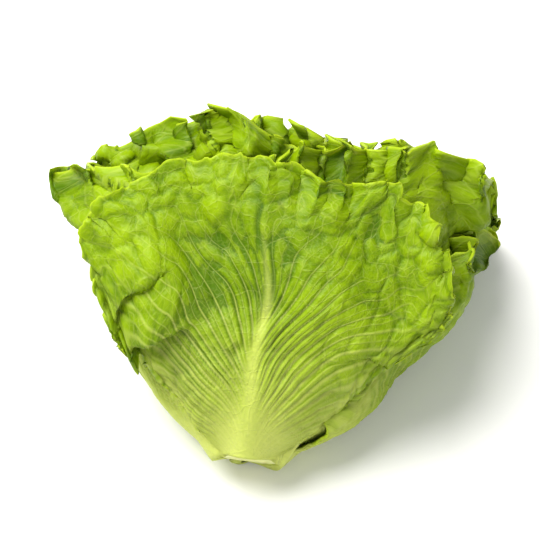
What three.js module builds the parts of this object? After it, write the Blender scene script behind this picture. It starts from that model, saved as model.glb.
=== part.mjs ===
// A head of green leaf lettuce as cut from the field, lying on its side on a table.
//
// The head is a short tapered stem core with a cut butt, and leaves that grow from it in a
// golden-angle spiral, oldest and outermost first. Each leaf is a fan-shaped blade that starts as a
// thick rib on the core and wraps round the younger leaves inside it, so the leaves are shells nested
// one in another, squashed flat on the side that the head lies on.
//
// Units are millimetres. +Z is up, the table is z = 0, and the butt points along -Y. The origin is on the
// table under the middle of the head.

import * as THREE from "three";

// Driving dimensions of the whole head.
const LEAF_LENGTH = 224; // the longest leaf, along its rib: it sets how long the head is
const HEAD_HALF_WIDTH = 162; // from the axis to the side of the outer leaves, near the tips
const HEAD_CROWN = 90; // from the axis to the top of the outer leaves, near the tips
const FLARE = 0.62; // how fast the head widens from the butt: lower is rounder shouldered
const TABLE_SQUASH = 3.6; // 2 is an ellipse's underside, and higher is squarer and flatter on the table
const AXIS_TILT = THREE.MathUtils.degToRad(23); // the butt lies lower than the leafy end
const AXIS_SAG = 22; // how far the leafy end droops below the straight axis
const BUTT_LIFT = 25; // height of the cut's centre above the table

// Stem core.
const CORE_RADIUS = 18;
const CORE_LENGTH = 80;
const CORE_TAPER = 1.7; // exponent of the taper: above 1 keeps the butt stout
const CORE_SIDES = 20;
const CORE_RINGS = 6;

// Leaves.
const OUTER_LEAVES = 12;
const INNER_LEAVES = 9;
const HEART_LEAVES = 7;
const GOLDEN_ANGLE = THREE.MathUtils.degToRad(137.508);
const CROWN_LEAF_SHARE = 0.89; // length of the oldest leaf as a share of the longest
const LEAF_WIDTH = 286; // the oldest leaf, pressed flat
const WIDEST_AT = 0.56; // share of a leaf's length from its foot to its widest place
const FAN_TURN = THREE.MathUtils.degToRad(112); // how far round that place the margin turns on each side
const BLADE_THICKNESS = 1;
const RIB_THICKNESS = 2.8; // what the rib adds to the blade at the leaf's foot
const FOOT_HALF_WIDTH = 20; // where the leaf leaves the core
const FIRST_FOOT = 0.8; // height of the oldest leaf's foot on the core
const LAST_FOOT = 64; // height of the youngest leaf's foot on the core
const CLEARANCE = 0.4; // between a leaf's foot and the core
const FOOT_SPREAD = [13, 26]; // length over which a leaf bends away from the core, oldest and youngest
const HEART_SHARE = 0.1; // size of the innermost shell as a share of the outermost
// A leaf reaches this far round the head each side of its rib, in radians. It is under half the golden
// angle, so that a leaf and the next one never meet, and only every other shell has to clear this one.
const WIDEST_WRAP = 1.19;
const GATHER_POWER = 6; // higher keeps a leaf's width as it is until just before it is gathered
const CROWN_FLARE = 0.34; // share by which the sides of the oldest leaf stand away from the head
const FLARE_SPAN = [28, 105]; // heights on the axis between which its sides turn away
const SWAY = 4.2; // depth of the slow waves that the whole head shares
const FLAT_DEPTH = 1.2; // what comes this close to the table is pressed flat on it

// Facets of each blade: across and along.
const OUTER_GRID = [12, 11];
const INNER_GRID = [11, 9];
const HEART_GRID = [9, 7];
const ROW_BUNCHING = 1.4; // above 1 sets the rows closer together at the foot, where the leaf bends most

const leafCount = OUTER_LEAVES + INNER_LEAVES + HEART_LEAVES;
const material = (colour, roughness) =>
  new THREE.MeshStandardMaterial({ color: colour, roughness, metalness: 0, side: THREE.FrontSide });
const coreMaterial = material(0xdfe3ac, 0.55);
const leafMaterials = {
  outer: material(0x86ae1c, 0.5),
  inner: material(0x96bb2a, 0.5),
  heart: material(0xb9cf57, 0.5),
};

// ---- The head's envelope, in the stem's own frame: s along the axis, angle 0 at the crown ----

const axisHeight = (s) => BUTT_LIFT + s * Math.sin(AXIS_TILT) - AXIS_SAG * (s / LEAF_LENGTH) ** 2;
const coreRadius = (s) => CORE_RADIUS * (1 - Math.min(1, Math.max(0, s) / CORE_LENGTH) ** CORE_TAPER);

function envelope(angle, s) {
  const shoulder = CORE_RADIUS + FIRST_FOOT + RIB_THICKNESS;
  const spread = (Math.max(0, s) / LEAF_LENGTH) ** FLARE;
  const side = shoulder + (HEAD_HALF_WIDTH - shoulder) * spread;
  const crown = shoulder + (HEAD_CROWN - shoulder) * spread;
  const table = axisHeight(Math.max(0, s)) / Math.cos(AXIS_TILT);
  const across = Math.abs(Math.sin(angle)) / side;
  const up = Math.cos(angle);
  const power = up > 0 ? 2 : TABLE_SQUASH;
  return (across ** power + (Math.abs(up) / (up > 0 ? crown : table)) ** power) ** (-1 / power);
}

// ---- One leaf's own sizes, from its age: 0 is the oldest, 1 the youngest ----

function leafSpec(index) {
  const age = index / (leafCount - 1);
  const wobble = Math.sin(index * 2.4); // leaves of one head differ a little
  const foot = FIRST_FOOT + (LAST_FOOT - FIRST_FOOT) * age;
  const trimmed = index === 0 ? CROWN_LEAF_SHARE : 1;
  const length = LEAF_LENGTH * trimmed * (1 - 0.24 * age - 0.36 * age ** 3) + 5 * wobble;
  const width = LEAF_WIDTH * (1 - 0.35 * age - 0.42 * age ** 2) * (1 + 0.04 * wobble);
  const share = 1 - (1 - HEART_SHARE) * age;
  return {
    angle: index * GOLDEN_ANGLE,
    age,
    foot,
    length,
    halfWidth: width / 2,
    flare: index === 0 ? CROWN_FLARE : 0,
    share,
    spread: FOOT_SPREAD[0] + (FOOT_SPREAD[1] - FOOT_SPREAD[0]) * age,
    footHalf: Math.min(FOOT_HALF_WIDTH, coreRadius(foot)),
    rib: RIB_THICKNESS * (1 - 0.85 * age),
  };
}

// ---- The flat fan: u runs across from -1 to 1 and v from the foot to the margin ----

const bezier = (a, b, c, d, t) =>
  a * (1 - t) ** 3 + 3 * b * t * (1 - t) ** 2 + 3 * c * t * t * (1 - t) + d * t ** 3;

function fanPoint(leaf, u, v) {
  const bend = u * FAN_TURN;
  const middle = leaf.length * WIDEST_AT;
  const edgeX = leaf.halfWidth * Math.sin(bend);
  const edgeY = middle + (leaf.length - middle) * Math.cos(bend);
  return {
    across: bezier(leaf.footHalf * u, leaf.footHalf * u + edgeX * 0.2, edgeX * 0.55, edgeX, v),
    along: bezier(0, 0.22 * edgeY, 0.6 * edgeY, edgeY, v),
  };
}

// ---- The fan wrapped on its shell ----

function shellRadius(leaf, angle, s) {
  const core = coreRadius(s) + CLEARANCE + (BLADE_THICKNESS + leaf.rib) / 2;
  const rise = 1 - Math.exp((-1.4 * Math.max(0, s - leaf.foot)) / leaf.spread);
  const turned = Math.min(1, Math.abs(angle - leaf.angle) / WIDEST_WRAP);
  const flare = 1 + leaf.flare * turned ** 2 * THREE.MathUtils.smoothstep(s, ...FLARE_SPAN);
  return core + (envelope(angle, s) - core) * leaf.share * rise * flare;
}

// A wide leaf gathers towards its margin, so that it never reaches past WIDEST_WRAP.
const wrap = (turn) => turn / (1 + (Math.abs(turn) / WIDEST_WRAP) ** GATHER_POWER) ** (1 / GATHER_POWER);

// Height on the axis at each millimetre along the rib.
function ribHeights(leaf) {
  const heights = [leaf.foot];
  let s = leaf.foot;
  for (let step = 0; step < leaf.length + 2; step++) {
    const slope = shellRadius(leaf, leaf.angle, s + 1) - shellRadius(leaf, leaf.angle, s);
    s += 1 / Math.hypot(1, slope);
    heights.push(s);
  }
  return heights;
}

function toHead(across, up, s) {
  return new THREE.Vector3(
    across,
    s * Math.cos(AXIS_TILT) - up * Math.sin(AXIS_TILT),
    axisHeight(s) + up * Math.cos(AXIS_TILT),
  );
}

// Slow waves that every leaf shares, so that the head isn't a perfect bulb and no leaf meets another.
function sway(point, s) {
  const reach = SWAY * THREE.MathUtils.smoothstep(s, 20, 110);
  const lifted = THREE.MathUtils.smoothstep(point.z, 0, 60);
  const { x, y, z } = point.clone().divideScalar(LEAF_LENGTH);
  return new THREE.Vector3(
    point.x + reach * Math.sin(11 * y + 8 * z + 0.4),
    point.y + reach * Math.sin(10 * x - 7 * z + 1.9),
    point.z + reach * lifted * Math.sin(12 * x + 9 * y + 3.1),
  );
}

function leafPoint(leaf, heights, u, v) {
  const { across, along } = fanPoint(leaf, u, v);
  const step = THREE.MathUtils.clamp(Math.floor(along), 0, heights.length - 2);
  const s = heights[step] + (heights[step + 1] - heights[step]) * (along - step);
  const atRib = shellRadius(leaf, leaf.angle, s);
  const atSide = shellRadius(leaf, leaf.angle + wrap(across / atRib), s);
  const angle = leaf.angle + wrap((2 * across) / (atRib + atSide));
  const radius = shellRadius(leaf, angle, s);
  return sway(toHead(radius * Math.sin(angle), radius * Math.cos(angle), s), s);
}

// ---- Solids ----

function leafGeometry(leaf, [cellsAcross, cellsAlong]) {
  const heights = ribHeights(leaf);
  const columns = cellsAcross + 1;
  const rows = cellsAlong + 1;
  const rowAt = (j) => Math.max(0, j / cellsAlong) ** ROW_BUNCHING;
  const at = (i, j) => leafPoint(leaf, heights, (2 * i) / cellsAcross - 1, rowAt(j));
  const outside = [];
  const inside = [];
  for (let j = 0; j < rows; j++)
    for (let i = 0; i < columns; i++) {
      const acrossStep = at(i + 0.05, j).sub(at(i - 0.05, j));
      const alongStep = at(i, j + 0.05).sub(at(i, j - 0.05));
      const normal = acrossStep.cross(alongStep).normalize();
      const u = (2 * i) / cellsAcross - 1;
      const ribShare = (1 - rowAt(j)) ** 2 * Math.exp(-((u / 0.6) ** 2));
      const half = (BLADE_THICKNESS + leaf.rib * ribShare) / 2;
      const point = at(i, j);
      outside.push(point.clone().addScaledVector(normal, half));
      inside.push(point.addScaledVector(normal, -half));
    }
  const vertices = [...outside, ...inside];
  const faces = [];
  const quad = (a, b, c, d) => faces.push(a, b, c, a, c, d);
  const back = outside.length;
  for (let j = 0; j < cellsAlong; j++)
    for (let i = 0; i < cellsAcross; i++) {
      const corner = j * columns + i;
      const next = corner + columns;
      quad(corner, corner + 1, next + 1, next);
      quad(back + corner, back + next, back + next + 1, back + corner + 1);
    }
  const rim = [];
  for (let i = 0; i < cellsAcross; i++) rim.push(i);
  for (let j = 0; j < cellsAlong; j++) rim.push(j * columns + cellsAcross);
  for (let i = cellsAcross; i > 0; i--) rim.push(cellsAlong * columns + i);
  for (let j = cellsAlong; j > 0; j--) rim.push(j * columns);
  rim.forEach((a, n) => {
    const b = rim[(n + 1) % rim.length];
    quad(a, back + a, back + b, b);
  });
  return { vertices, faces };
}

function coreGeometry() {
  const profile = [new THREE.Vector2(0, 0)];
  for (let ring = 0; ring < CORE_RINGS; ring++) {
    const s = (CORE_LENGTH * ring) / CORE_RINGS;
    profile.push(new THREE.Vector2(coreRadius(s), s));
  }
  profile.push(new THREE.Vector2(0, CORE_LENGTH));
  const lathe = new THREE.LatheGeometry(profile, CORE_SIDES);
  const points = lathe.getAttribute("position");
  for (let n = 0; n < points.count; n++) {
    const s = points.getY(n);
    const point = sway(toHead(points.getX(n), points.getZ(n), s), s);
    points.setXYZ(n, point.x, point.y, point.z);
  }
  lathe.computeVertexNormals();
  return lathe;
}

function buildHead() {
  const group = new THREE.Group();
  const leaves = [];
  for (let index = 0; index < leafCount; index++) {
    const kind = index < OUTER_LEAVES ? "outer" : index < OUTER_LEAVES + INNER_LEAVES ? "inner" : "heart";
    const first = { outer: 0, inner: OUTER_LEAVES, heart: OUTER_LEAVES + INNER_LEAVES }[kind];
    const grid = { outer: OUTER_GRID, inner: INNER_GRID, heart: HEART_GRID }[kind];
    const solid = leafGeometry(leafSpec(index), grid);
    leaves.push({ kind, name: `${kind}_leaf_${String(index - first + 1).padStart(2, "0")}`, ...solid });
  }

  // The lowest leaf rests on the table, and what is nearly there is pressed flat on it.
  const all = leaves.flatMap((leaf) => leaf.vertices);
  const outsides = leaves.flatMap((leaf) => leaf.vertices.slice(0, leaf.vertices.length / 2));
  const lowest = Math.min(...outsides.map((point) => point.z));
  const drop = -lowest - FLAT_DEPTH;
  const middleX = (Math.min(...all.map((p) => p.x)) + Math.max(...all.map((p) => p.x))) / 2;
  const middleY = (Math.min(...all.map((p) => p.y)) + Math.max(...all.map((p) => p.y))) / 2;
  for (const { kind, name, vertices, faces } of leaves) {
    const flat = vertices.flatMap((p, n) => {
      // The outside's vertices come first, then the inside's, which stay a blade's thickness higher.
      const table = n < vertices.length / 2 ? 0 : BLADE_THICKNESS;
      return [p.x - middleX, p.y - middleY, Math.max(table, p.z + drop)];
    });
    const geometry = new THREE.BufferGeometry();
    geometry.setAttribute("position", new THREE.Float32BufferAttribute(flat, 3));
    geometry.setIndex(faces);
    geometry.computeVertexNormals();
    const mesh = new THREE.Mesh(geometry, leafMaterials[kind]);
    mesh.name = name;
    group.add(mesh);
  }
  const core = new THREE.Mesh(coreGeometry(), coreMaterial);
  core.name = "stem_core";
  core.position.set(-middleX, -middleY, drop);
  group.add(core);
  return group;
}

export default buildHead();
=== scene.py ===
"""A head of green leaf lettuce lying on its side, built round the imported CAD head.

Every leaf of the CAD head is replaced by a fine mesh of the same leaf: the same fan wrapped on the same
shell, with its ribs, blisters, creases and frilled margin. The stem core is replaced by a finer one. Lengths
are in millimetres until a mesh is made.
"""

import math
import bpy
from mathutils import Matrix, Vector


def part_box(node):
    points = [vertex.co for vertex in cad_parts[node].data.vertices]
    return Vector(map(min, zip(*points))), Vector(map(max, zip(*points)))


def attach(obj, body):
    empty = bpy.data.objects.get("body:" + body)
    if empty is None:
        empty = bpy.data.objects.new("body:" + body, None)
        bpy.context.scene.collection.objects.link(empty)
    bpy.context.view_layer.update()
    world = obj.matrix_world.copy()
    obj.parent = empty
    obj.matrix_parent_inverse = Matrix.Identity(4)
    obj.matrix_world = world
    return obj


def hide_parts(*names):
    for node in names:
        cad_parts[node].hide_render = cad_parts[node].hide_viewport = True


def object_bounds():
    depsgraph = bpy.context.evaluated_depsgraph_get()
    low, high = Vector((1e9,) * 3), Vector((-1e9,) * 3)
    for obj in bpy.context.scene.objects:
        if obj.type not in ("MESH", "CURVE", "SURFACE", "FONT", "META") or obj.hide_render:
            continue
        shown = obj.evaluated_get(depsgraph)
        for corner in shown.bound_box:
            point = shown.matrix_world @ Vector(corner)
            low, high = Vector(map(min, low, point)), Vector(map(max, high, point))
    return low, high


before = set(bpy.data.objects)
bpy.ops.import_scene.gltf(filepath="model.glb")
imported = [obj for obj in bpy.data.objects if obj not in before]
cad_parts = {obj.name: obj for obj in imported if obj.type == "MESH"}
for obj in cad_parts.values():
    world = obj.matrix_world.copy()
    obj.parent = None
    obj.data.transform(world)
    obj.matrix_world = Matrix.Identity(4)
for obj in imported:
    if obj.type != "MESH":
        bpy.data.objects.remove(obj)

from types import SimpleNamespace

import bpy
import numpy as np
from mathutils import Vector

CAD_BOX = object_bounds()
MM = 0.001

# ---- The CAD head's own sizes, as its source has them ----

LEAF_LENGTH = 224.0
HEAD_HALF_WIDTH = 162.0
HEAD_CROWN = 90.0
FLARE = 0.62
TABLE_SQUASH = 3.6
AXIS_TILT = math.radians(23)
AXIS_SAG = 22.0
BUTT_LIFT = 25.0
CORE_RADIUS = 18.0
CORE_LENGTH = 80.0
CORE_TAPER = 1.7
OUTER_LEAVES = 12
INNER_LEAVES = 9
HEART_LEAVES = 7
GOLDEN_ANGLE = math.radians(137.508)
CROWN_LEAF_SHARE = 0.89
LEAF_WIDTH = 286.0
WIDEST_AT = 0.56
FAN_TURN = math.radians(112)
BLADE_THICKNESS = 1.0
RIB_THICKNESS = 2.8
FOOT_HALF_WIDTH = 20.0
FIRST_FOOT = 0.8
LAST_FOOT = 64.0
CLEARANCE = 0.4
FOOT_SPREAD = (13.0, 26.0)
HEART_SHARE = 0.1
WIDEST_WRAP = 1.19
GATHER_POWER = 6
CROWN_FLARE = 0.34
FLARE_SPAN = (28.0, 105.0)
SWAY = 4.2
LEAF_COUNT = OUTER_LEAVES + INNER_LEAVES + HEART_LEAVES

# ---- The looks' own sizes ----

BLADE = 0.55  # thickness of the visible blade
TABLE_GAP = 0.15  # the lowest point of any visible leaf above the table
VEINS = 10  # lateral veins on each side of a large leaf's rib
PROUD = 9.0  # a frill may stand this far past the CAD head's box, and a share of that side further
PROUD_SHARE = 0.027
SOFTENING = 7  # passes that spread a push over the leaf that is pushed
LEAF_GAP = 0.7  # least room between a visible leaf and the one outside it
ROOM_COLUMNS = 360  # cells round the axis, and along it from ROOM_FLOOR, in which that room is kept
ROOM_ROWS = 116
ROOM_FLOOR = -12.0
ROOM_STEP = 2.4
FAR = 1000.0  # the room where there is no leaf yet
CORE_SINK = 0.6  # how far into the stem core a leaf may be pushed
NEAREST_AXIS = 2.0  # and how near to the axis
LEAVES_TO_THE_CUT = 7  # leaves whose feet run down the stem to the cut
OPENED_LEAVES = (1, 2, 3, 5)  # leaves whose sides stand away from the head
OPENING = 6.0
OPENING_SPAN = (45.0, 135.0)  # heights on the axis between which they turn away
HUG_DEPTH = (2.5, 4.5)  # how far the crown leaf's low left and right sides are laid in
HUG_TURN = (0.03, 0.16)  # and how far they are carried round the axis, in radians
RIB_HALF_WIDTH = 11.5
RIB_RELIEF = 5.0
PILLOW_RELIEF = 2.2  # between lateral veins
DOME_RELIEF = 2.1
DOME_SIZE = (19.0, 15.0)  # across the leaf and along it
SMALL_DOME_RELIEF = 0.7
SMALL_DOME_SIZE = (8.0, 6.5)
SWELL_RELIEF = 3.8
SWELL_SIZE = 42.0
GASH_RELIEF = 2.6
LOBE_REACH = 5.6  # the margin's lobes, teeth and nicks
TOOTH_REACH = 3.4
NICK_REACH = 1.2
BROAD_WAVE = 36.0  # length along the margin of a frill's broad waves and of its quick ones
QUICK_WAVE = 15.5
BROAD_OUT = 6.5
QUICK_OUT = 5.8
BROAD_ASIDE = 5.5
QUICK_ASIDE = 3.4
QUICK_ONWARD = 2.2
CURL = 6.5  # how far the far ends of the leaves turn outwards
CURL_SPAN = (0.62, 0.98)  # shares of the leaf length between which they do
CORE_SIDES = 72
CUT_RINGS = 22
STEM_RINGS = 30
PLAIN_GRID = (41, 31)  # columns and rows of the plain leaves that are matched to the CAD ones
SEED = 7

LEAF_FINISH = (
    # leaves with an index below this, columns and rows of their mesh, strength of their frills
    (1, 440, 112, 0.32),
    (7, 320, 68, 1.15),
    (OUTER_LEAVES, 270, 48, 1.15),
    (OUTER_LEAVES + INNER_LEAVES, 210, 36, 0.95),
    (LEAF_COUNT, 140, 26, 0.5),
)

LEAF_FOLDS = {
    # side of the rib, share of the width where it starts, share of the length, slope in degrees, and sizes
    0: (
        {"side": -1, "inner": 0.2, "height": 0.52, "turn": -16, "width": 10, "lift": 11, "roll": 13},
        {"side": -1, "inner": 0.4, "height": 0.74, "turn": -24, "width": 7, "lift": 7, "roll": 8},
        {"side": 1, "inner": 0.28, "height": 0.36, "turn": 4, "width": 6, "lift": 4.5, "roll": 5},
    ),
}


# ---- Repeatable noise ----


def scramble(i, j, seed):
    """A random number from 0 to 1 for each whole-numbered place."""
    n = (i.astype(np.int64) * 374761393 + j.astype(np.int64) * 668265263 + seed * 974634777) & 0xFFFFFFFF
    n = ((n ^ (n >> 13)) * 1274126177) & 0xFFFFFFFF
    return ((n ^ (n >> 16)) & 0xFFFF) / 65535.0


def noise(x, y, seed):
    """Smooth noise from -1 to 1 with features one unit apart."""
    i, j = np.floor(x), np.floor(y)
    fx, fy = x - i, y - j
    wx, wy = (w * w * w * (w * (6 * w - 15) + 10) for w in (fx, fy))
    low = scramble(i, j, seed) * (1 - wx) + scramble(i + 1, j, seed) * wx
    high = scramble(i, j + 1, seed) * (1 - wx) + scramble(i + 1, j + 1, seed) * wx
    return 2 * (low * (1 - wy) + high * wy) - 1


def rough_noise(x, y, seed, octaves):
    """Noise with finer and fainter noise added to it."""
    total, size = 0, 1.0
    for octave in range(octaves):
        total = total + size * noise(x * 2**octave, y * 2**octave, seed + octave)
        size *= 0.5
    return total


def blisters(x, y, seed):
    """Domes one unit apart with narrow valleys between them, from 0 in a valley to 1 on a dome."""
    i, j = np.floor(x), np.floor(y)
    nearest = np.full(np.shape(x), 9.0)
    second = np.full(np.shape(x), 9.0)
    for di in (-1, 0, 1):
        for dj in (-1, 0, 1):
            cx = i + di + 0.15 + 0.7 * scramble(i + di, j + dj, seed)
            cy = j + dj + 0.15 + 0.7 * scramble(i + di, j + dj, seed + 1)
            distance = np.hypot(x - cx, y - cy)
            second = np.minimum(second, np.maximum(nearest, distance))
            nearest = np.minimum(nearest, distance)
    return 1 - np.exp(-3.2 * (second - nearest))


def smoothstep(x, low, high):
    t = np.clip((x - low) / (high - low), 0, 1)
    return t * t * (3 - 2 * t)


# ---- The CAD head's formulas ----


def axis_height(s):
    return BUTT_LIFT + s * math.sin(AXIS_TILT) - AXIS_SAG * (s / LEAF_LENGTH) ** 2


def core_radius(s):
    return CORE_RADIUS * (1 - np.clip(s / CORE_LENGTH, 0, 1) ** CORE_TAPER)


def envelope(angle, s):
    s = np.maximum(s, 0)
    shoulder = CORE_RADIUS + FIRST_FOOT + RIB_THICKNESS
    spread = (s / LEAF_LENGTH) ** FLARE
    side = shoulder + (HEAD_HALF_WIDTH - shoulder) * spread
    crown = shoulder + (HEAD_CROWN - shoulder) * spread
    table = axis_height(s) / math.cos(AXIS_TILT)
    across = np.abs(np.sin(angle)) / side
    up = np.cos(angle)
    power = np.where(up > 0, 2.0, TABLE_SQUASH)
    down = np.abs(up) / np.where(up > 0, crown, table)
    return (across**power + down**power) ** (-1 / power)


def leaf_spec(index):
    age = index / (LEAF_COUNT - 1)
    wobble = math.sin(index * 2.4)
    foot = FIRST_FOOT + (LAST_FOOT - FIRST_FOOT) * age
    trimmed = CROWN_LEAF_SHARE if index == 0 else 1
    length = LEAF_LENGTH * trimmed * (1 - 0.24 * age - 0.36 * age**3) + 5 * wobble
    width = LEAF_WIDTH * (1 - 0.35 * age - 0.42 * age**2) * (1 + 0.04 * wobble)
    leaf = SimpleNamespace(
        index=index,
        age=age,
        angle=index * GOLDEN_ANGLE,
        foot=foot,
        length=length,
        half_width=width / 2,
        flare=CROWN_FLARE if index == 0 else 0,
        share=1 - (1 - HEART_SHARE) * age,
        spread=FOOT_SPREAD[0] + (FOOT_SPREAD[1] - FOOT_SPREAD[0]) * age,
        foot_half=min(FOOT_HALF_WIDTH, float(core_radius(foot))),
        rib=RIB_THICKNESS * (1 - 0.85 * age),
        seed=SEED + 100 * index,
    )
    leaf.heights = rib_heights(leaf)
    return leaf


def shell_radius(leaf, angle, s):
    core = core_radius(s) + CLEARANCE + (BLADE_THICKNESS + leaf.rib) / 2
    rise = 1 - np.exp(-1.4 * np.maximum(0, s - leaf.foot) / leaf.spread)
    turned = np.minimum(1, np.abs(angle - leaf.angle) / WIDEST_WRAP)
    flare = 1 + leaf.flare * turned**2 * smoothstep(s, *FLARE_SPAN)
    return core + (envelope(angle, s) - core) * leaf.share * rise * flare


def rib_heights(leaf):
    """Height on the axis at each millimetre along the rib."""
    heights = [leaf.foot]
    s = leaf.foot
    for _ in range(int(leaf.length) + 25):
        slope = float(shell_radius(leaf, leaf.angle, s + 1) - shell_radius(leaf, leaf.angle, s))
        s += 1 / math.hypot(1, slope)
        heights.append(s)
    return np.array(heights)


def wrap(turn):
    return turn / (1 + (np.abs(turn) / WIDEST_WRAP) ** GATHER_POWER) ** (1 / GATHER_POWER)


def bezier(a, b, c, d, t):
    return a * (1 - t) ** 3 + 3 * b * t * (1 - t) ** 2 + 3 * c * t * t * (1 - t) + d * t**3


def fan_point(leaf, u, v):
    """The flat leaf: distance from the rib and distance along it."""
    bend = u * FAN_TURN
    middle = leaf.length * WIDEST_AT
    edge_x = leaf.half_width * np.sin(bend)
    edge_y = middle + (leaf.length - middle) * np.cos(bend)
    across = bezier(leaf.foot_half * u, leaf.foot_half * u + edge_x * 0.2, edge_x * 0.55, edge_x, v)
    along = bezier(0, 0.22 * edge_y, 0.6 * edge_y, edge_y, v)
    return across, along


def shell_point(leaf, across, along):
    """The flat leaf wrapped on its shell. Also returns the angle round the axis and the height on it."""
    s = np.interp(along, np.arange(len(leaf.heights)), leaf.heights)
    at_rib = shell_radius(leaf, leaf.angle, s)
    at_side = shell_radius(leaf, leaf.angle + wrap(across / at_rib), s)
    angle = leaf.angle + wrap(2 * across / (at_rib + at_side))
    return sway(at_axis(angle, s, shell_radius(leaf, angle, s)), s), angle, s


def at_axis(angle, s, radius):
    """The point at an angle round the head's axis, a height on it and a distance from it."""
    x, up = radius * np.sin(angle), radius * np.cos(angle)
    y = s * math.cos(AXIS_TILT) - up * math.sin(AXIS_TILT)
    return np.stack([x, y, axis_height(s) + up * math.cos(AXIS_TILT)], axis=-1)


def from_axis(points):
    """The angle round the axis, the height on it and the distance from it of each point."""
    x, y, z = points[..., 0], points[..., 1], points[..., 2]
    s = y
    for _ in range(4):
        lift = z - BUTT_LIFT + AXIS_SAG * (s / LEAF_LENGTH) ** 2
        s = y * math.cos(AXIS_TILT) + lift * math.sin(AXIS_TILT)
    up = (z - axis_height(s)) / math.cos(AXIS_TILT)
    return np.arctan2(x, up), s, np.hypot(x, up)


def sway(points, s):
    x, y, z = points[..., 0], points[..., 1], points[..., 2]
    reach = SWAY * smoothstep(s, 20, 110)
    lifted = smoothstep(z, 0, 60)
    a, b, c = x / LEAF_LENGTH, y / LEAF_LENGTH, z / LEAF_LENGTH
    return np.stack(
        [
            x + reach * np.sin(11 * b + 8 * c + 0.4),
            y + reach * np.sin(10 * a - 7 * c + 1.9),
            z + reach * lifted * np.sin(12 * a + 9 * b + 3.1),
        ],
        axis=-1,
    )


def unit(vectors):
    return vectors / np.maximum(np.linalg.norm(vectors, axis=-1, keepdims=True), 1e-9)


def frame_of(points):
    """Unit vectors across the leaf, along it, and out of its outer face."""
    across = unit(np.gradient(points, axis=1))
    along = unit(np.gradient(points, axis=0))
    return across, along, unit(np.cross(across, along))


# ---- One leaf's relief, in the flat leaf ----


def lateral_veins(leaf, u, v):
    """Which lateral vein each place lies on: 0 at the rib, 1 at the lowest one, more in the foot."""
    family = np.linspace(0, 3.2, 480)
    value = np.zeros_like(u)
    start = 0.66 * (1 - np.minimum(family, 1)) ** 1.15 - 0.04 - 0.8 * np.maximum(family - 1, 0)
    for row in range(u.shape[0]):
        climbed = np.clip((v[row, 0] - start) / (1 - start), 0, 1)
        reach = family * (0.1 * climbed + 0.9 * climbed**1.15) + 1e-5 * family
        value[row] = np.interp(np.abs(u[row]), reach, family)
    return value


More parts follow.
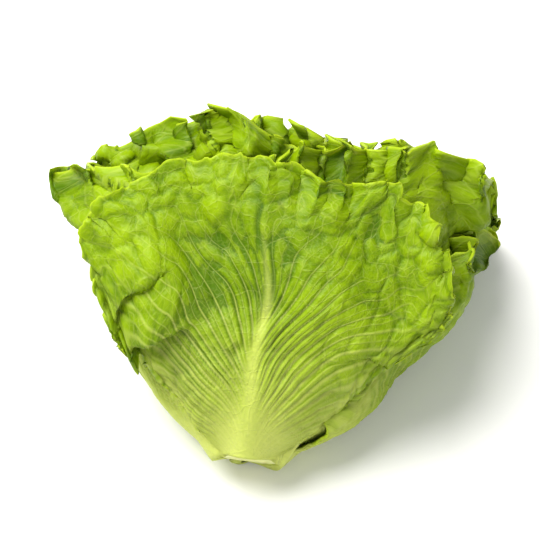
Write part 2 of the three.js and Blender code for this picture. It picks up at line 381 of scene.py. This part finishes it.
def relief(leaf, u, v, across, along):
    """Height of the outer face above the smooth blade, and the masks that colour it, with painted shade in
    its hollows and painted light on its swells.
    """
    size = leaf.length / LEAF_LENGTH
    width = np.maximum(np.abs(np.gradient(across, axis=1) / np.gradient(u, axis=1)), 1)
    left = (u < 0).astype(float)
    count = max(5, round(VEINS * size))
    beyond = np.clip(along / leaf.length, 0, 1)
    base = np.hypot(1.25 * across, along)

    warp = 0.4 * noise(along / 40 + 9 * left, across / 40, leaf.seed + 1)
    warp = warp + 0.5 * smoothstep(v, 0.45, 0.9) * noise(along / 19, across / 19, leaf.seed + 2)
    line = lateral_veins(leaf, u, v) * count + 0.5 * left + warp + 8
    per_unit = np.abs(np.gradient(line, axis=1) / np.gradient(u, axis=1)) / width
    spacing = 1 / np.maximum(per_unit, 1 / 40)
    vein_width = size * (2.1 - 1.2 * smoothstep(base, 20, 150))

    rib_half = size * (RIB_HALF_WIDTH * (1 - beyond) ** 1.9 + 0.9)
    rib = np.exp(-((np.abs(across) / rib_half) ** 2)) * (1 - smoothstep(beyond, 0.5, 0.9))
    foot = 1 - smoothstep(base, 8, 74)
    inward = smoothstep(base, 16, 60)
    beside = np.exp(-((np.abs(across) / 58) ** 2)) * (1 - 0.75 * smoothstep(beyond, 0.45, 0.85))
    near = beside * inward * (1 - 0.9 * rib)

    patchy = 0.5 + 0.5 * noise(across / 30, along / 30, leaf.seed + 3)
    drift = noise(line * 0.7, along / 34, leaf.seed + 4)
    pillow = np.abs(np.sin(math.pi * line)) ** 0.7
    feather = np.abs(np.sin(2 * math.pi * (line + 0.2 * drift))) ** 0.8
    wx = across + 7 * noise(across / 17, along / 17, leaf.seed + 6)
    wy = along + 7 * noise(across / 17 + 7, along / 17, leaf.seed + 7)
    domes = blisters(wx / DOME_SIZE[0], wy / DOME_SIZE[1], leaf.seed + 8)
    small = blisters(wx / SMALL_DOME_SIZE[0], wy / SMALL_DOME_SIZE[1], leaf.seed + 9)
    swell = rough_noise(across / SWELL_SIZE, along / SWELL_SIZE, leaf.seed + 11, octaves=3)
    gash = 1 - np.abs(noise(line * 0.8 + 3, along / 55, leaf.seed + 12))
    gash = smoothstep(gash, 0.86, 1.0) * smoothstep(patchy, 0.35, 0.75)

    few_small = 1 - 0.5 * smoothstep(v, 0.5, 0.9)
    puffs = DOME_RELIEF * domes + SMALL_DOME_RELIEF * small * patchy * few_small
    height = size * near * (PILLOW_RELIEF * pillow + (0.8 + 1.6 * patchy) * feather)
    height = height + size * inward * (1 - 0.65 * beside) * puffs
    height = height + SWELL_RELIEF * size * smoothstep(base, 40, 110) * swell
    height = height - GASH_RELIEF * size * inward * beside * gash * (1 - rib)
    height = height + size * (RIB_RELIEF * (1 - beyond) ** 2.2 + 0.6) * rib

    # Painted shade and light: the blade is coloured darker in the hollows between the domes, in the grooves
    # beside the veins and in the gashes, and lighter on the raised swells.
    hollow = 1 - np.clip(0.6 * domes + 0.4 * small, 0, 1)
    groove = near * (0.55 * (1 - feather) * (0.3 + 0.7 * patchy) + 0.45 * (1 - pillow))
    tone = 0.74 - 0.45 * inward * (1 - beside) * hollow - 0.9 * groove - 0.18 * gash * beside + 0.14 * swell
    stripes = 0.5 * near * feather * (1 - smoothstep(beyond, 0.1, 0.6))
    pale = np.maximum(np.maximum(rib * (1 - 0.7 * beyond), foot**1.2), stripes)
    fade = smoothstep(np.abs(across), 1, 8) * (1 - 0.75 * smoothstep(v, 0.5, 0.92))
    return SimpleNamespace(
        height=height,
        rib=rib,
        masks={
            "line": line,
            "sharpness": spacing / vein_width,
            "fade": fade,
            "pale": np.clip(pale, 0, 1),
            "tone": np.clip(tone, 0, 1),
        },
    )


def teeth(run, seed, sharp):
    """How far the margin stands out past its smooth line, at each millimetre of its run."""
    still = run * 0
    lobes = noise(run / 34, still, seed) + 0.5 * noise(run / 15, still, seed + 3)
    tooth = (1 - np.abs(noise(run / 8.5, still + 5, seed + 1))) ** 3
    nicks = noise(run / 4.5, still, seed + 2)
    return LOBE_REACH * lobes + sharp * (TOOTH_REACH * tooth + NICK_REACH * nicks)


def toothed(leaf, u, v, across, along):
    """The flat leaf with its margin cut into lobes and teeth, round the tip and down both sides."""
    size = leaf.length / LEAF_LENGTH
    sharp = 1.0 if leaf.index == 0 else 0.5
    tip = size * teeth(u * FAN_TURN * leaf.length * 0.62, leaf.seed + 20, sharp) * smoothstep(v, 0.55, 1.0)
    grow = 1 + tip / LEAF_LENGTH
    down = smoothstep(np.abs(u), 0.86, 1.0) * smoothstep(v, 0.1, 0.3) * (1 - smoothstep(v, 0.88, 1.0))
    side = 0.7 * size * teeth(v * leaf.length * 0.8 + 500 * (u < 0), leaf.seed + 24, sharp) * down
    return across * grow + 0.8 * np.sign(u) * side, along * grow - 0.6 * side


def nearness(u, v):
    """How near the margin each place is, from 0 at the foot to 1 on the margin."""
    side = smoothstep(np.abs(u), 0.78, 1.0) * smoothstep(v, 0.35, 0.8)
    return 1 - (1 - v) * (1 - side)


def frill(leaf, u, v, angle, s, amount):
    """Displacement of the margin: out of the face, along the margin, and along the leaf."""
    run = angle * 88 + 0.25 * s + 0.8 * s * smoothstep(np.abs(u), 0.7, 1.0)
    drift = leaf.index * 0.21
    swing = 2 * math.pi * run / BROAD_WAVE + drift + 3.0 * noise(run / 48, s / 34, SEED + 30)
    quick = 2 * math.pi * run / QUICK_WAVE + 1.7 * drift + 3.4 * noise(run / 26, s / 22, SEED + 31)
    strength = 1 + 0.55 * noise(run / 40 + 5, s / 60, leaf.seed + 33)
    near = nearness(u, v)
    wide = smoothstep(near, 0.58, 1.0) ** 1.6
    rim = smoothstep(near, 0.76, 1.0) ** 1.5
    out = BROAD_OUT * wide * np.sin(swing) + QUICK_OUT * rim * np.sin(quick)
    aside = BROAD_ASIDE * rim * np.sin(2 * swing + 0.6) + QUICK_ASIDE * rim * np.sin(2 * quick)
    onward = QUICK_ONWARD * rim * np.cos(quick + 0.8)
    start, end = (share * LEAF_LENGTH for share in CURL_SPAN)
    curl = CURL * smoothstep(s, start, end) ** 1.5 * (leaf.index > 0)
    return amount * strength * out + curl, amount * strength * aside, amount * strength * onward


def folds(leaf, u, v, across, along):
    """Long pleats where a large leaf overlaps itself: out of the face and along the leaf."""
    out = np.zeros_like(u)
    onward = np.zeros_like(u)
    for fold in LEAF_FOLDS.get(leaf.index, ()):
        slope = math.tan(math.radians(fold["turn"]))
        reach = np.abs(across) / leaf.half_width
        on_side = smoothstep(reach, fold["inner"], fold["inner"] + 0.35) * (np.sign(across) == fold["side"])
        offset = along - (fold["height"] * leaf.length + slope * np.abs(across))
        offset = offset + 5 * noise(across / 25, along / 60, leaf.seed + 41)
        width = np.where(offset < 0, fold["width"] * 0.5, fold["width"] * 2.2)
        bump = np.exp(-((offset / width) ** 2)) * on_side
        out = out + fold["lift"] * bump
        onward = onward - fold["roll"] * bump
    return out, onward


# ---- Meshes ----


def finish_of(leaf):
    """Columns and rows of a leaf's mesh, finer on the leaves that show, and the strength of its frills."""
    return next(finish for below, *finish in LEAF_FINISH if leaf.index < below)


class Nest:
    """The room left inside the leaves made so far: the nearest of them at each angle and height."""

    def __init__(self):
        self.room = np.full((ROOM_ROWS, ROOM_COLUMNS), FAR)

    def cells(self, angle, s):
        column = np.floor(angle / (2 * math.pi) * ROOM_COLUMNS).astype(int)
        row = np.clip(np.floor((s - ROOM_FLOOR) / ROOM_STEP).astype(int), 0, ROOM_ROWS - 2)
        return row, column

    def fit(self, points, reach):
        """Points moved towards the axis where they, with what stands out from them, would cross a leaf."""
        angle, s, radius = from_axis(points)
        row, column = self.cells(angle, s)
        push = np.maximum(radius + reach - self.room[row, column % ROOM_COLUMNS], 0)
        for _ in range(SOFTENING):
            push = widened(widened(push).T).T
        least = np.maximum(core_radius(s) - CORE_SINK, NEAREST_AXIS)
        return at_axis(angle, s, np.maximum(radius - push, np.minimum(radius, least)))

    def add(self, points):
        angle, s, radius = from_axis(points)
        row, column = self.cells(angle, s)
        for down in (0, 1):
            for aside in (0, 1):
                np.minimum.at(self.room, (row + down, (column + aside) % ROOM_COLUMNS), radius)


def widened(values):
    """Values spread a little along their first axis, keeping the most of their height."""
    padded = np.pad(values, ((1, 1), (0, 0)), mode="edge")
    return np.maximum(values, 0.3 * padded[:-2] + 0.4 * values + 0.3 * padded[2:])


def feet_to_the_cut(leaf, points, v):
    """The foot of an outer leaf run down the stem to the cut, as a leaf's base does."""
    if leaf.index >= LEAVES_TO_THE_CUT:
        return points
    angle, s, radius = from_axis(points)
    down = (leaf.foot - FIRST_FOOT) * (1 - smoothstep(v, 0.0, 0.1))
    return at_axis(angle, s - down, radius)


def hugging(leaf, points, u):
    """The low sides of the crown leaf laid against the leaves under them."""
    if leaf.index > 0:
        return points
    angle, s, radius = from_axis(points)
    low = smoothstep(s, 2, 14) * (1 - smoothstep(s, 28, 60))
    hug = np.where(u > 0, HUG_DEPTH[1], HUG_DEPTH[0]) * smoothstep(np.abs(u), 0.35, 1.0) * low
    turn = np.where(u > 0, HUG_TURN[1], HUG_TURN[0]) * np.sign(u)
    return at_axis(angle + turn * smoothstep(np.abs(u), 0.2, 1.0) * low, s, radius - hug)


def opened(leaf, points):
    """The sides of the leaves under the crown leaf standing away from the head."""
    if leaf.index not in OPENED_LEAVES:
        return points
    angle, s, radius = from_axis(points)
    away = OPENING * smoothstep(s, *OPENING_SPAN) * np.abs(np.sin(angle)) ** 4
    return at_axis(angle, s, radius + away)


def leaf_surface(leaf, nest):
    columns, rows, frilled = finish_of(leaf)
    u = np.linspace(-1, 1, columns)[None, :] * np.ones((rows, 1))
    t = np.linspace(0, 1, rows)[:, None] * np.ones((1, columns))
    v = 1 - (1 - t) ** 1.4
    across, along = fan_point(leaf, u, v)
    points, angle, s = shell_point(leaf, *toothed(leaf, u, v, across, along))
    side, onward, out = frame_of(points)
    lift, aside, ahead = frill(leaf, u, v, angle, s, frilled)
    fold_out, fold_on = folds(leaf, u, v, across, along)
    points = points + out * (lift + fold_out)[..., None]
    points = points + side * aside[..., None] + onward * (ahead + fold_on)[..., None]
    points = opened(leaf, hugging(leaf, feet_to_the_cut(leaf, points, v), u))
    detail = relief(leaf, u, v, across, along)
    if leaf.index > 0:
        points = nest.fit(points, detail.height + LEAF_GAP)
    _, _, out = frame_of(points)
    outer = points + out * (detail.height + BLADE / 2)[..., None]
    inner = points + out * (0.55 * detail.height * (1 - detail.rib) - BLADE / 2)[..., None]
    nest.add(inner)
    per_u = np.hypot(np.gradient(across, axis=1), np.gradient(along, axis=1)) / np.gradient(u, axis=1)
    rim = np.minimum((1 - v) * leaf.length, (1 - np.abs(u)) * per_u + 40 * (1 - smoothstep(v, 0.1, 0.3)))
    masks = detail.masks
    masks["margin"] = np.exp(-((rim / 1.3) ** 2))
    # The inner face of every leaf is painted darker than its outer face: this mask is 0 on the outer face and
    # 1 on the inner one.
    masks["upper"] = np.zeros_like(u)
    flat = np.stack([across / 10, along / 10, np.full_like(u, leaf.index * 3.7)], axis=-1)
    return outer, inner, masks, flat


def sheet_faces(rows, columns):
    """Quads of a closed sheet: its outer face, its inner face and the rim that joins them."""
    index = np.arange(rows * columns).reshape(rows, columns)
    a, b = index[:-1, :-1], index[:-1, 1:]
    c, d = index[1:, 1:], index[1:, :-1]
    outer = np.stack([a, b, c, d], axis=-1).reshape(-1, 4)
    back = rows * columns
    inner = np.stack([a, d, c, b], axis=-1).reshape(-1, 4) + back
    loop = np.concatenate([index[0, :-1], index[:-1, -1], index[-1, :0:-1], index[:0:-1, 0]])
    following = np.roll(loop, -1)
    rim = np.stack([loop, loop + back, following + back, following], axis=-1)
    return np.concatenate([outer, inner, rim])


def make_mesh(name, points, faces):
    mesh = bpy.data.meshes.new(name)
    mesh.from_pydata((points.reshape(-1, 3) * MM).tolist(), [], faces)
    mesh.shade_smooth()
    piece = bpy.data.objects.new(name, mesh)
    bpy.context.scene.collection.objects.link(piece)
    return piece


def add_mask(mesh, name, values):
    mesh.attributes.new(name, "FLOAT", "POINT").data.foreach_set("value", values.ravel().astype(np.float32))


def add_flat(mesh, flat):
    made = mesh.attributes.new("flat", "FLOAT_VECTOR", "POINT")
    made.data.foreach_set("vector", flat.ravel().astype(np.float32))


def in_box(points):
    """Points with the frills that stand far past the CAD head's box drawn in towards it."""
    low, high = (np.array(corner) / MM for corner in CAD_BOX)
    most = PROUD + PROUD_SHARE * (high - low)
    past = points - np.clip(points, low, high)
    return points - past + most * np.tanh(past / most)


def head_shift(leaves):
    """How far the CAD source moved its head to stand it on the table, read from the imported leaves."""
    moves = []
    for name, points in leaves:
        low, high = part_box(name)
        ours = (points.min((0, 1)) + points.max((0, 1))) / 2
        moves.append((np.array(low) + np.array(high)) / 2 / MM - ours)
    return np.median(np.array(moves), axis=0)


# ---- Materials ----


def node(tree, kind, **settings):
    made = tree.nodes.new(kind)
    for name, value in settings.items():
        setattr(made, name, value)
    return made


def srgb(red, green, blue):
    """A colour seen on a screen, 0 to 255, as the linear colour that Blender mixes."""
    parts = [c / 255 for c in (red, green, blue)]
    return [c / 12.92 if c <= 0.04045 else ((c + 0.055) / 1.055) ** 2.4 for c in parts] + [1.0]


class Nodes:
    """Short calls that add nodes to one material and link them."""

    def __init__(self, name):
        self.material = bpy.data.materials.new(name)
        self.material.use_nodes = True
        self.tree = self.material.node_tree
        self.tree.nodes.clear()

    def link(self, source, target):
        self.tree.links.new(source, target)

    def put(self, socket, value):
        if isinstance(value, bpy.types.NodeSocket):
            self.link(value, socket)
        else:
            socket.default_value = value

    def attribute(self, name, output="Fac"):
        return node(self.tree, "ShaderNodeAttribute", attribute_name=name).outputs[output]

    def math(self, operation, a, b=0.0, clamp=False):
        made = node(self.tree, "ShaderNodeMath", operation=operation, use_clamp=clamp)
        self.put(made.inputs[0], a)
        self.put(made.inputs[1], b)
        return made.outputs[0]

    def mix(self, share, a, b, blend="MIX"):
        made = node(self.tree, "ShaderNodeMix", data_type="RGBA", blend_type=blend)
        self.put(made.inputs[0], share)
        self.put(made.inputs[6], a)
        self.put(made.inputs[7], b)
        return made.outputs[2]

    def ramp(self, value, low, high, from_value=0.0, to_value=1.0):
        made = node(self.tree, "ShaderNodeMapRange", interpolation_type="SMOOTHSTEP")
        for number, setting in enumerate((value, low, high, from_value, to_value)):
            self.put(made.inputs[number], setting)
        return made.outputs[0]

    def noise(self, place, scale, detail=2.0, roughness=0.5):
        made = node(self.tree, "ShaderNodeTexNoise")
        self.link(place, made.inputs["Vector"])
        made.inputs["Scale"].default_value = scale
        made.inputs["Detail"].default_value = detail
        made.inputs["Roughness"].default_value = roughness
        return made

    def cells(self, place, scale, feature="DISTANCE_TO_EDGE"):
        made = node(self.tree, "ShaderNodeTexVoronoi", feature=feature)
        self.link(place, made.inputs["Vector"])
        made.inputs["Scale"].default_value = scale
        return made.outputs["Distance"]

    def stripe(self, line, sharpness, phase):
        """1 along lines one unit apart, falling to 0 at a distance that the sharpness sets."""
        part = self.math("FRACT", self.math("ADD", line, phase))
        distance = self.math("ABSOLUTE", self.math("SUBTRACT", part, 0.5))
        return self.ramp(self.math("MULTIPLY", distance, sharpness), 0.0, 1.0, 1.0, 0.0)

    def shifted(self, place, scale, reach):
        """A place moved about by noise, so that a pattern made there isn't regular."""
        wander = self.noise(place, scale).outputs["Color"]
        centred = node(self.tree, "ShaderNodeVectorMath", operation="SUBTRACT")
        self.link(wander, centred.inputs[0])
        centred.inputs[1].default_value = (0.5, 0.5, 0.5)
        scaled = node(self.tree, "ShaderNodeVectorMath", operation="SCALE")
        self.link(centred.outputs[0], scaled.inputs[0])
        scaled.inputs["Scale"].default_value = reach
        moved = node(self.tree, "ShaderNodeVectorMath", operation="ADD")
        self.link(place, moved.inputs[0])
        self.link(scaled.outputs[0], moved.inputs[1])
        return moved.outputs[0]


LEAF_COLOURS = {
    # dark blade, light blade, pale rib, margin
    "outer_leaf": (srgb(72, 110, 0), srgb(153, 185, 2), srgb(214, 224, 112), srgb(190, 216, 40)),
    "inner_leaf": (srgb(76, 112, 0), srgb(156, 188, 6), srgb(216, 226, 120), srgb(194, 220, 52)),
    "heart_leaf": (srgb(140, 172, 24), srgb(186, 208, 60), srgb(224, 230, 140), srgb(206, 222, 84)),
}


def leaf_material(slot):
    """Leaf tissue: mottled yellow-green blade with painted shade in its hollows and a darker inner face, thin
    pale veins, pale ribs and a thin light margin.
    """
    n = Nodes(slot)
    dark, light, pale, margin = LEAF_COLOURS[slot]
    place = n.attribute("flat", "Vector")
    wandering = n.shifted(place, 0.55, 0.9)

    mottle = n.noise(place, 0.5, detail=4.0, roughness=0.55).outputs["Fac"]
    # The blade runs from its dark to its light colour by the relief's painted shade and light, with a random
    # mottle added.
    tone = n.math("ADD", n.attribute("tone"), n.math("MULTIPLY", n.math("SUBTRACT", mottle, 0.5), 0.5))
    blade = n.mix(n.ramp(tone, 0.05, 0.95), dark, light)
    # The inner face of every leaf is painted darker, towards the darkest blade colour.
    blade = n.mix(n.math("MULTIPLY", n.attribute("upper"), 0.6), blade, dark)

    line = n.attribute("line")
    sharpness = n.attribute("sharpness")
    laterals = n.stripe(line, sharpness, 0.5)
    between = n.stripe(line, n.math("MULTIPLY", sharpness, 1.7), 0.0)
    laterals = n.math("MAXIMUM", laterals, n.math("MULTIPLY", between, 0.55))
    laterals = n.math("MULTIPLY", laterals, n.attribute("fade"))
    network = n.ramp(n.cells(wandering, 0.8), 0.0, 0.04, 1.0, 0.0)
    fine = n.ramp(n.cells(wandering, 2.4), 0.0, 0.09, 1.0, 0.0)
    vein_lines = n.math("MAXIMUM", laterals, n.math("MULTIPLY", network, 0.3))
    vein_lines = n.math("MAXIMUM", vein_lines, n.math("MULTIPLY", fine, 0.14))
    veined = n.mix(n.math("MULTIPLY", vein_lines, 0.55), blade, pale)

    streaks = n.noise(place, 3.2, detail=3.0).outputs["Fac"]
    pale_share = n.math("MULTIPLY", n.attribute("pale"), n.ramp(streaks, 0.1, 0.9, 0.75, 1.0), clamp=True)
    ribbed = n.mix(pale_share, veined, pale)
    colour = n.mix(n.math("MULTIPLY", n.attribute("margin"), 0.75), ribbed, margin)

    grain = n.noise(place, 26.0, detail=3.0, roughness=0.6).outputs["Fac"]
    cells = n.ramp(n.cells(wandering, 3.6), 0.0, 0.5)
    height = n.math("ADD", n.math("MULTIPLY", cells, 0.4), n.math("MULTIPLY", grain, 0.1))
    height = n.math("ADD", height, n.math("MULTIPLY", network, 0.35))
    height = n.math("ADD", height, n.math("MULTIPLY", laterals, 0.8))
    bump = node(n.tree, "ShaderNodeBump")
    bump.inputs["Strength"].default_value = 0.6
    bump.inputs["Distance"].default_value = 0.0008
    n.link(height, bump.inputs["Height"])

    surface = node(n.tree, "ShaderNodeBsdfPrincipled")
    n.link(colour, surface.inputs["Base Color"])
    n.link(n.ramp(grain, 0.2, 0.8, 0.34, 0.48), surface.inputs["Roughness"])
    surface.inputs["IOR"].default_value = 1.36
    surface.inputs["Specular IOR Level"].default_value = 0.28
    surface.inputs["Subsurface Weight"].default_value = 0.2
    surface.inputs["Subsurface Radius"].default_value = (0.9, 1.0, 0.15)
    surface.inputs["Subsurface Scale"].default_value = 0.002
    n.link(bump.outputs["Normal"], surface.inputs["Normal"])

    glow = node(n.tree, "ShaderNodeBsdfTranslucent")
    n.link(n.mix(0.3, colour, light), glow.inputs["Color"])
    both = node(n.tree, "ShaderNodeMixShader")
    both.inputs["Fac"].default_value = 0.2
    n.link(surface.outputs["BSDF"], both.inputs[1])
    n.link(glow.outputs["BSDF"], both.inputs[2])
    n.link(both.outputs["Shader"], node(n.tree, "ShaderNodeOutputMaterial").inputs["Surface"])
    return n.material


def core_material():
    """Fresh cut stem: pale moist flesh with a greener ring of vessels, drying brown at the cut."""
    n = Nodes("stem_core")
    place = n.attribute("flat", "Vector")
    ring = n.attribute("ring")
    patchy = n.noise(place, 2.2, detail=4.0).outputs["Fac"]
    flesh = n.mix(patchy, srgb(204, 210, 118), srgb(226, 228, 158))
    vessels = n.math("MULTIPLY", ring, n.ramp(n.noise(place, 9.0).outputs["Fac"], 0.3, 0.7, 0.3, 1.0))
    ringed = n.mix(n.math("MULTIPLY", vessels, 0.55), flesh, srgb(176, 192, 84))
    dried = n.ramp(n.noise(place, 1.3, detail=3.0).outputs["Fac"], 0.5, 0.72)
    colour = n.mix(n.math("MULTIPLY", dried, 0.3), ringed, srgb(186, 140, 84))
    surface = node(n.tree, "ShaderNodeBsdfPrincipled")
    n.link(colour, surface.inputs["Base Color"])
    n.link(n.ramp(patchy, 0.2, 0.8, 0.3, 0.55), surface.inputs["Roughness"])
    surface.inputs["Subsurface Weight"].default_value = 0.35
    surface.inputs["Subsurface Radius"].default_value = (1.0, 0.9, 0.5)
    surface.inputs["Subsurface Scale"].default_value = 0.004
    bump = node(n.tree, "ShaderNodeBump")
    bump.inputs["Strength"].default_value = 0.5
    bump.inputs["Distance"].default_value = 0.0006
    n.link(n.noise(place, 14.0, detail=4.0).outputs["Fac"], bump.inputs["Height"])
    n.link(bump.outputs["Normal"], surface.inputs["Normal"])
    n.link(surface.outputs["BSDF"], node(n.tree, "ShaderNodeOutputMaterial").inputs["Surface"])
    return n.material


def floor_material():
    n = Nodes("floor")
    surface = node(n.tree, "ShaderNodeBsdfPrincipled")
    surface.inputs["Base Color"].default_value = (0.93, 0.93, 0.92, 1)
    surface.inputs["Roughness"].default_value = 0.75
    n.link(surface.outputs["BSDF"], node(n.tree, "ShaderNodeOutputMaterial").inputs["Surface"])
    return n.material


# ---- The head ----


def node_name(index):
    if index < OUTER_LEAVES:
        return "outer_leaf", f"outer_leaf_{index + 1:02d}"
    if index < OUTER_LEAVES + INNER_LEAVES:
        return "inner_leaf", f"inner_leaf_{index - OUTER_LEAVES + 1:02d}"
    return "heart_leaf", f"heart_leaf_{index - OUTER_LEAVES - INNER_LEAVES + 1:02d}"


def core_points(rings, sides):
    """The stem core as rings of points, from the middle of the cut out to its rim and on to the tip."""
    turn = np.linspace(0, 2 * math.pi, sides, endpoint=False)
    cut = np.linspace(0.04, 1, rings[0])
    stem = np.linspace(0.02, 0.985, rings[1])
    radii = np.concatenate([cut * CORE_RADIUS, core_radius(stem * CORE_LENGTH)])
    heights = np.concatenate([0.25 * cut**2 - 0.2, stem * CORE_LENGTH])
    ring = np.concatenate([np.exp(-(((cut - 0.72) / 0.09) ** 2)), np.zeros(rings[1])])
    radius = radii[:, None] * (1 + 0.025 * np.sin(5 * turn + 1)[None, :] + 0.012 * np.sin(11 * turn)[None, :])
    s = heights[:, None] + 0.35 * noise(radius * np.cos(turn) / 4, radius * np.sin(turn) / 4, SEED + 60)
    flat = np.stack([radius * np.sin(turn), radius * np.cos(turn), s], axis=-1) / 10
    return sway(at_axis(turn, s, radius), s), ring[:, None] * np.ones((1, sides)), flat


def build_core(shift):
    points, ring, flat = core_points((CUT_RINGS, STEM_RINGS), CORE_SIDES)
    rows = points.shape[0]
    index = np.arange(rows * CORE_SIDES).reshape(rows, CORE_SIDES)
    a, b = index[:-1], np.roll(index[:-1], -1, axis=1)
    c, d = np.roll(index[1:], -1, axis=1), index[1:]
    quads = np.stack([a, b, c, d], axis=-1).reshape(-1, 4).tolist()
    faces = quads + [index[0, ::-1].tolist(), index[-1].tolist()]
    core = make_mesh("cut_stem_core", points + shift, faces)
    add_mask(core.data, "ring", ring)
    add_flat(core.data, flat)
    core.data.materials.append(core_material())
    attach(core, "root")
    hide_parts("stem_core")


def build_leaves():
    """Every leaf of the head, outermost first. Returns how far the CAD head was moved."""
    materials = {slot: leaf_material(slot) for slot in LEAF_COLOURS}
    nest = Nest()
    u, v = np.meshgrid(np.linspace(-1, 1, PLAIN_GRID[0]), np.linspace(0, 1, PLAIN_GRID[1]))
    made = []
    plain = []
    for index in range(LEAF_COUNT):
        leaf = leaf_spec(index)
        made.append((leaf, *leaf_surface(leaf, nest)))
        points, _, _ = shell_point(leaf, *fan_point(leaf, u, v))
        plain.append((node_name(index)[1], points))
    shift = head_shift(plain)
    for leaf, outer, inner, masks, flat in made:
        rows, columns, _ = outer.shape
        outer = in_box(outer + shift)
        inner = in_box(inner + shift)
        outer[..., 2] = np.maximum(outer[..., 2], TABLE_GAP)
        inner[..., 2] = np.maximum(inner[..., 2], TABLE_GAP + BLADE)
        slot, cad_node = node_name(leaf.index)
        points = np.concatenate([outer.reshape(-1, 3), inner.reshape(-1, 3)])
        piece = make_mesh(cad_node.replace("leaf", "leaf_blade"), points, sheet_faces(rows, columns).tolist())
        for name, values in masks.items():
            # The inner face's copy of that mask is 1, which paints the inner face darker; the other masks are
            # copied as they are.
            far_side = np.ones_like(values) if name == "upper" else values
            add_mask(piece.data, name, np.concatenate([values.ravel(), far_side.ravel()]))
        add_flat(piece.data, np.concatenate([flat, flat]))
        piece.data.materials.append(materials[slot])
        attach(piece, "root")
        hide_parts(cad_node)
    return shift


# ---- The stage ----


def build_floor():
    bpy.ops.mesh.primitive_plane_add(size=8, location=(0, 0, 0))
    floor = bpy.context.object
    floor.name = "floor"
    floor.data.materials.append(floor_material())


def area_light(name, place, aim, size, power, colour=(1, 1, 1)):
    data = bpy.data.lights.new(name, "AREA")
    data.shape = "DISK"
    data.size = size
    data.energy = power
    data.color = colour
    lamp = bpy.data.objects.new(name, data)
    lamp.location = place
    lamp.rotation_euler = (Vector(aim) - Vector(place)).to_track_quat("-Z", "Y").to_euler()
    bpy.context.scene.collection.objects.link(lamp)


def build_light():
    warm = (1.0, 0.985, 0.95)
    area_light("key", place=(-0.7, 0.3, 1.6), aim=(0, 0, 0.05), size=1.5, power=56, colour=warm)
    area_light("fill", place=(0.4, -1.7, 1.5), aim=(0, 0, 0.08), size=1.6, power=10)
    world = bpy.data.worlds.new("studio")
    world.use_nodes = True
    world.node_tree.nodes["Background"].inputs["Color"].default_value = (1, 1, 1, 1)
    world.node_tree.nodes["Background"].inputs["Strength"].default_value = 0.45
    bpy.context.scene.world = world
    bpy.context.scene.view_settings.view_transform = "Standard"


def build_camera(azimuth, elevation, distance, lens, aim):
    turn, rise = math.radians(azimuth), math.radians(elevation)
    back = Vector((math.sin(turn) * math.cos(rise), -math.cos(turn) * math.cos(rise), math.sin(rise)))
    data = bpy.data.cameras.new("camera")
    data.lens = lens
    camera = bpy.data.objects.new("camera", data)
    camera.location = aim + back * distance
    camera.rotation_euler = (-back).to_track_quat("-Z", "Y").to_euler()
    bpy.context.scene.collection.objects.link(camera)
    bpy.context.scene.camera = camera


middle = (CAD_BOX[0] + CAD_BOX[1]) / 2
build_camera(azimuth=7, elevation=57, distance=1.25, lens=128, aim=middle + Vector((0, 0, -0.005)))
shift = build_leaves()
build_core(shift)
build_floor()
build_light()
